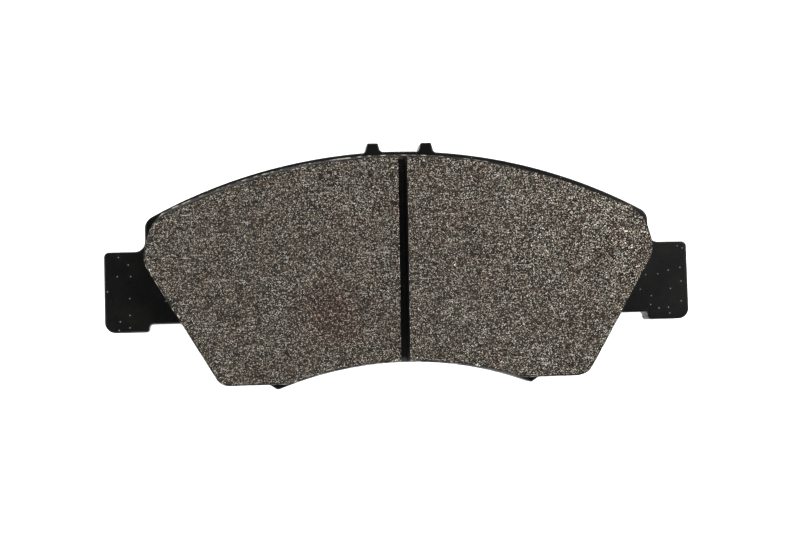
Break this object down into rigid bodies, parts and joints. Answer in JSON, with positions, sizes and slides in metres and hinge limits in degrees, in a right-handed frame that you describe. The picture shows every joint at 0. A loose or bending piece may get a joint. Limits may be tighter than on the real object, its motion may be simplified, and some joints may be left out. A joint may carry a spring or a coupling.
{
  "type": "brake pad",
  "caption": "Flat disc brake pad: a black steel plate with an ear at each end carries a curved, slotted lining block on the front and a bonded shim on the back.",
  "frame": {"origin": "on the back face of the shim, at the middle of the outline's box", "axes": "+X along the pad from ear to ear, +Y from the toes to the crown, +Z from the shim to the friction face"},
  "size_m": [0.137, 0.0568, 0.015],
  "materials": {
    "shim_rubber": "matte",
    "shim_steel": "satin",
    "shim_inner_rubber": "matte",
    "shim_adhesive": "satin",
    "plate_powder_coat": "satin",
    "bonding_resin": "satin",
    "underlayer_compound": "matte",
    "friction_compound": "matte"
  },
  "bodies": {
    "root": {"shim_outer_rubber": "shim_rubber", "shim_steel_core": "shim_steel", "shim_inner_rubber": "shim_inner_rubber", "shim_adhesive": "shim_adhesive", "backing_plate": "plate_powder_coat", "bonding_film": "bonding_resin", "underlayer": "underlayer_compound", "friction_block_left": "friction_compound", "friction_block_right": "friction_compound"}
  },
  "joints": []
}
